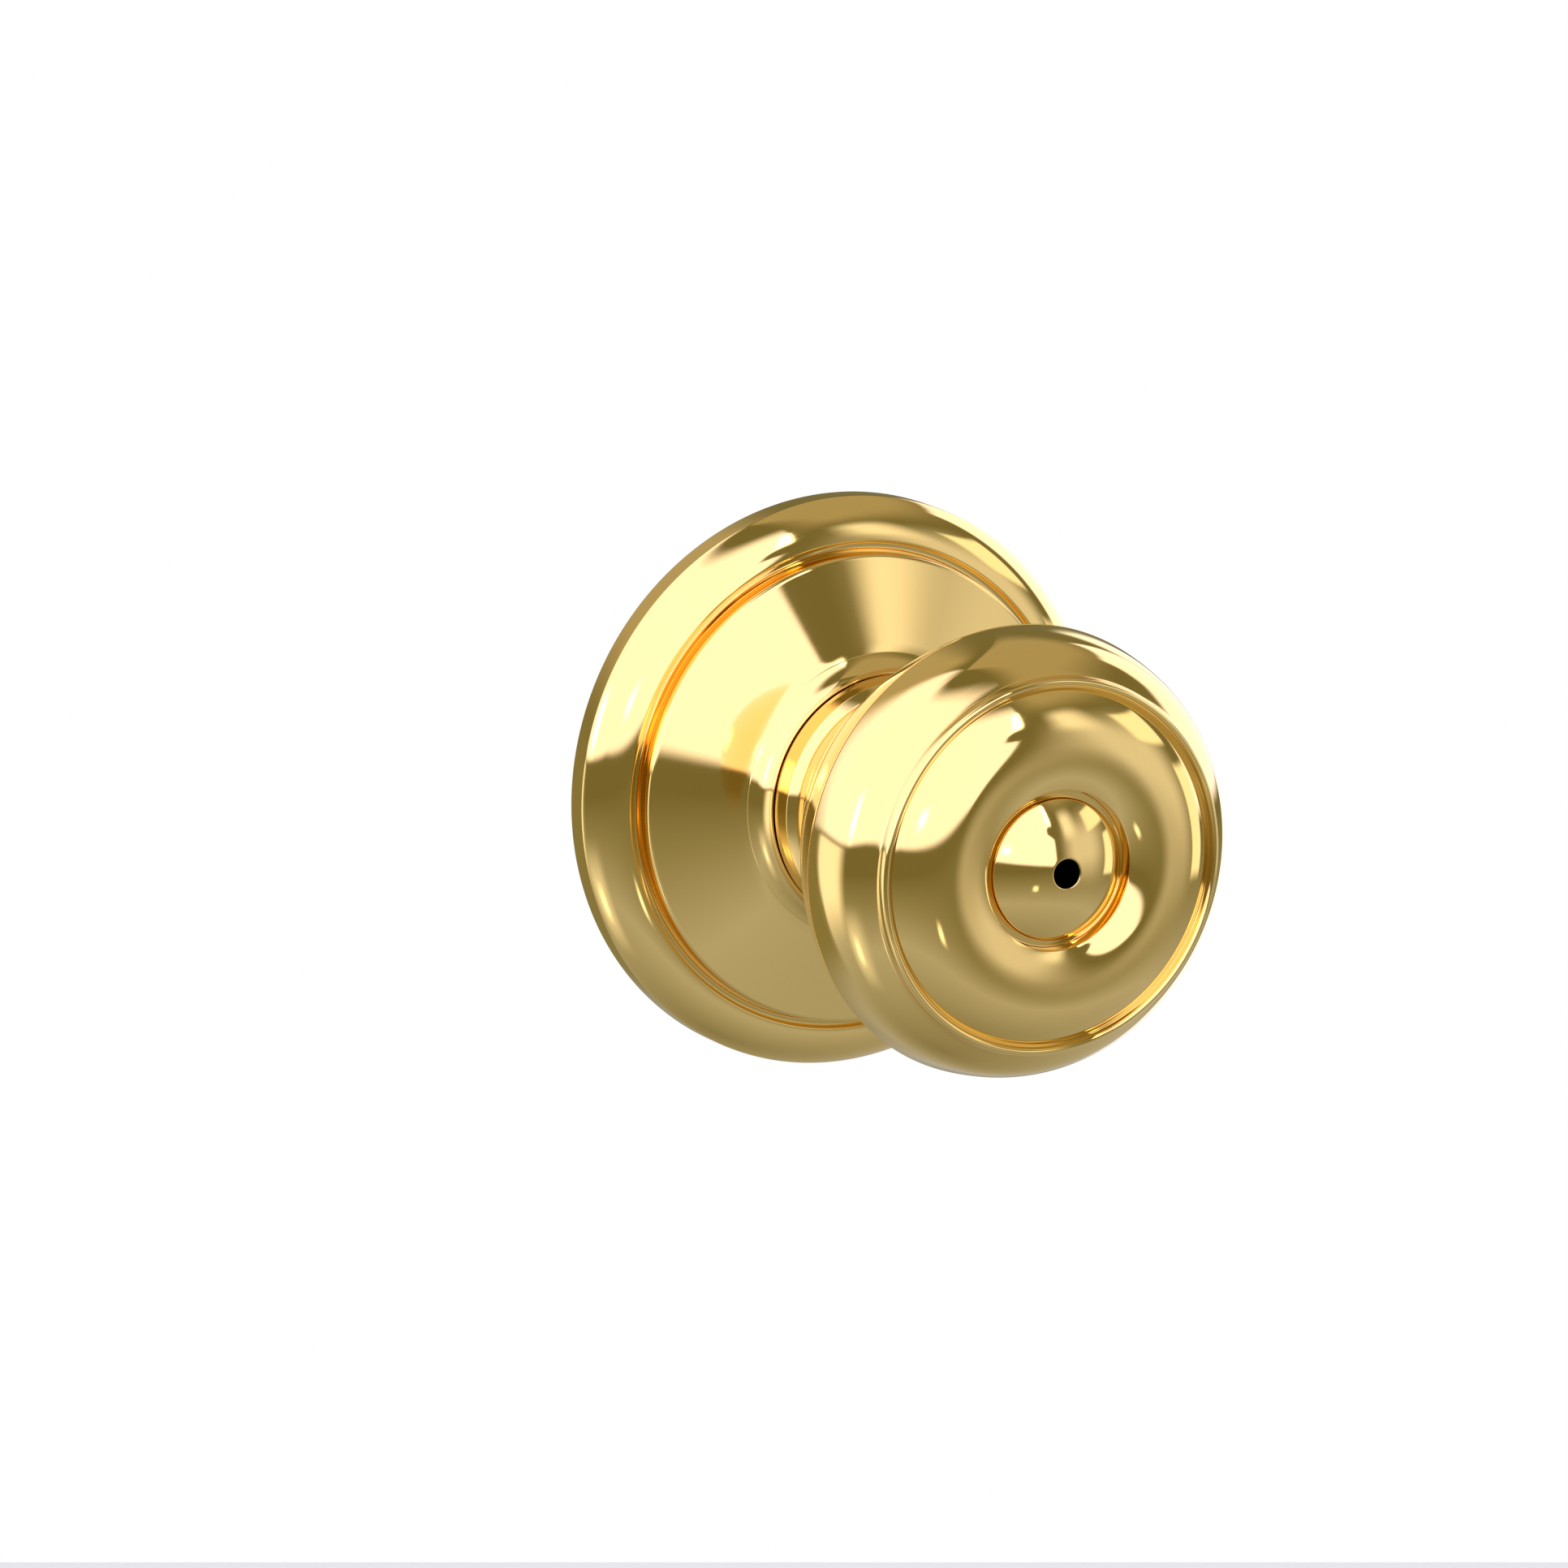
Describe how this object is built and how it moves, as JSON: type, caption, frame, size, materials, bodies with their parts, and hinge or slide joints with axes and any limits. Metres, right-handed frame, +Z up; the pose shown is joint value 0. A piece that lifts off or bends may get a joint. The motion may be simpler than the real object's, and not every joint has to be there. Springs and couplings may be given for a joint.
{
  "type": "door knob",
  "caption": "Polished brass door knob on a round stepped rose, with a domed centre button and release pinhole, sprung spindle drive and tubular latch fixing posts.",
  "frame": {"origin": "centre of the rose's back face, on the spindle's axis, where it meets the door", "axes": "+Y along the spindle into the door, -Y out of the door towards the user, +Z up"},
  "size_m": [0.0666, 0.1016, 0.0666],
  "materials": {
    "polished_brass": "mirror polished, lacquered",
    "pressed_steel": "zinc plated, satin",
    "zinc_casting": "as cast",
    "fastener_steel": "turned, zinc plated",
    "spring_steel": "oiled",
    "bronze": "sintered"
  },
  "bodies": {
    "rose": {"rose_shell": "polished_brass", "rose_liner": "pressed_steel", "spring_housing": "zinc_casting", "housing_cover": "pressed_steel", "cover_screws": "fastener_steel", "liner_rivets": "fastener_steel", "mounting_posts": "fastener_steel", "neck_bush": "bronze", "stop_pins": "fastener_steel", "return_spring": "spring_steel"},
    "knob": {"knob_face": "polished_brass", "knob_back": "polished_brass", "centre_button": "polished_brass", "knob_core": "zinc_casting", "backing_disc": "pressed_steel", "neck_sleeve": "pressed_steel", "neck_collar": "polished_brass", "pin_guide": "fastener_steel", "spindle": "fastener_steel", "spindle_pins": "fastener_steel", "spring_driver": "zinc_casting", "thrust_washer": "fastener_steel", "spring_washer": "spring_steel", "retaining_ring": "spring_steel", "rod_spring": "spring_steel"},
    "release": {"release_rod": "fastener_steel", "rod_head": "fastener_steel"}
  },
  "joints": [
    {"name": "knob_turn", "type": "hinge", "parent": "rose", "child": "knob", "pos_m": [0, 0, 0], "axis": [0, 1, 0], "range_deg": [-50, 50], "stiffness_Nm_per_rad": 0.35, "deforming": ["return_spring"]},
    {"name": "release_push", "type": "slide", "parent": "knob", "child": "release", "axis": [0, 1, 0], "range_m": [0, 0.004], "stiffness_N_per_m": 400, "deforming": ["rod_spring"]}
  ]
}
